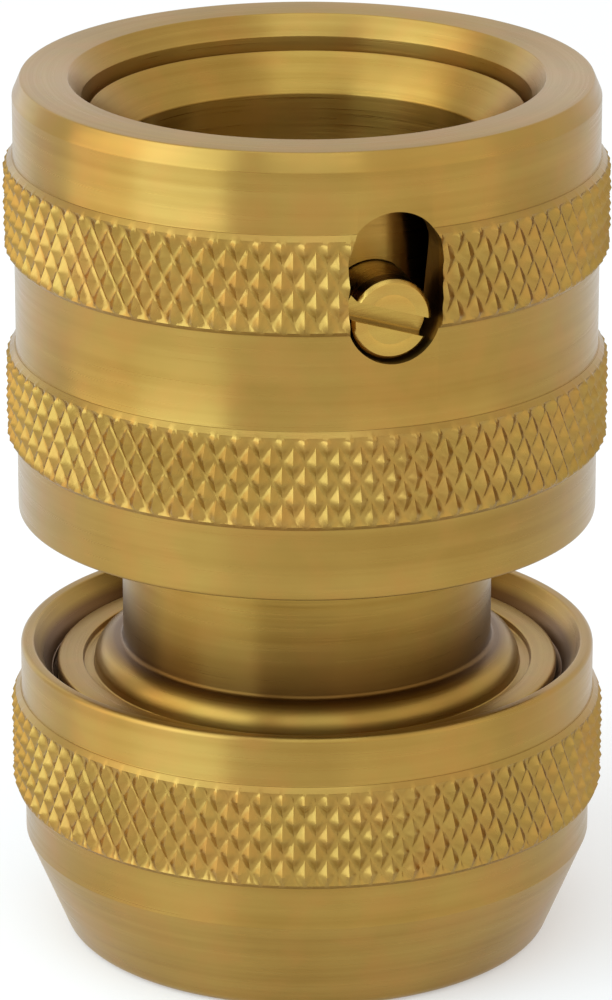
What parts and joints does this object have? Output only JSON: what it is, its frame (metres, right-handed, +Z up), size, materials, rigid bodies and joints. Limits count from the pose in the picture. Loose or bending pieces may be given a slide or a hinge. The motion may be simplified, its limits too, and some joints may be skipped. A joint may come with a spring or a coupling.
{
  "type": "hose quick connector",
  "caption": "Quick connector for a garden hose, with a spring-loaded knurled sleeve and locking balls over a socket, and a knurled clamp nut over a barbed hose tail.",
  "frame": {"origin": "on the axis, at the nut's lower face, which the connector stands on", "axes": "+Z up the axis towards the socket's mouth; the guide screw looks along -Y"},
  "size_m": [0.0368, 0.0368, 0.0547],
  "materials": {
    "brass_body": "turned, bright",
    "brass_sleeve": "turned, knurled bands",
    "brass_screw": "turned",
    "brass_nut": "turned, knurled band",
    "spring_steel": "drawn wire",
    "ball_steel": "polished",
    "ring_plastic": "moulded"
  },
  "bodies": {
    "body": {"connector_body": "brass_body", "guide_screw": "brass_screw", "sleeve_spring": "spring_steel"},
    "sleeve": {"locking_sleeve": "brass_sleeve"},
    "ball_1": {"locking_ball_1": "ball_steel"},
    "ball_2": {"locking_ball_2": "ball_steel"},
    "ball_3": {"locking_ball_3": "ball_steel"},
    "ball_4": {"locking_ball_4": "ball_steel"},
    "ball_5": {"locking_ball_5": "ball_steel"},
    "ball_6": {"locking_ball_6": "ball_steel"},
    "ring": {"clamp_ring": "ring_plastic"},
    "nut": {"hose_nut": "brass_nut"}
  },
  "joints": [
    {"name": "sleeve_slide", "type": "slide", "parent": "body", "child": "sleeve", "axis": [0, 0, -1], "range_m": [0, 0.004], "stiffness_N_per_m": 2000, "springref_m": -0.006, "deforming": ["sleeve_spring"]},
    {"name": "ball_1_slide", "type": "slide", "parent": "body", "child": "ball_1", "axis": [0.5, -0.866, 0], "range_m": [0, 0.00112]},
    {"name": "ball_2_slide", "type": "slide", "parent": "body", "child": "ball_2", "axis": [1, 0, 0], "range_m": [0, 0.00112]},
    {"name": "ball_3_slide", "type": "slide", "parent": "body", "child": "ball_3", "axis": [0.5, 0.866, 0], "range_m": [0, 0.00112]},
    {"name": "ball_4_slide", "type": "slide", "parent": "body", "child": "ball_4", "axis": [-0.5, 0.866, 0], "range_m": [0, 0.00112]},
    {"name": "ball_5_slide", "type": "slide", "parent": "body", "child": "ball_5", "axis": [-1, 0, 0], "range_m": [0, 0.00112]},
    {"name": "ball_6_slide", "type": "slide", "parent": "body", "child": "ball_6", "axis": [-0.5, -0.866, 0], "range_m": [0, 0.00112]},
    {"name": "nut_travel", "type": "slide", "parent": "body", "child": "ring", "axis": [0, 0, -1], "range_m": [0, 0.006]},
    {"name": "nut_turn", "type": "hinge", "parent": "ring", "child": "nut", "pos_m": [0, 0, 0.01], "axis": [0, 0, -1], "range_deg": [0, 1440]}
  ],
  "couplings": [
    {"joint": "ball_1_slide", "follows": "sleeve_slide", "ratio": 0.28},
    {"joint": "ball_2_slide", "follows": "sleeve_slide", "ratio": 0.28},
    {"joint": "ball_3_slide", "follows": "sleeve_slide", "ratio": 0.28},
    {"joint": "ball_4_slide", "follows": "sleeve_slide", "ratio": 0.28},
    {"joint": "ball_5_slide", "follows": "sleeve_slide", "ratio": 0.28},
    {"joint": "ball_6_slide", "follows": "sleeve_slide", "ratio": 0.28},
    {"joint": "nut_travel", "follows": "nut_turn", "m_per_rad": 0.00023873}
  ]
}
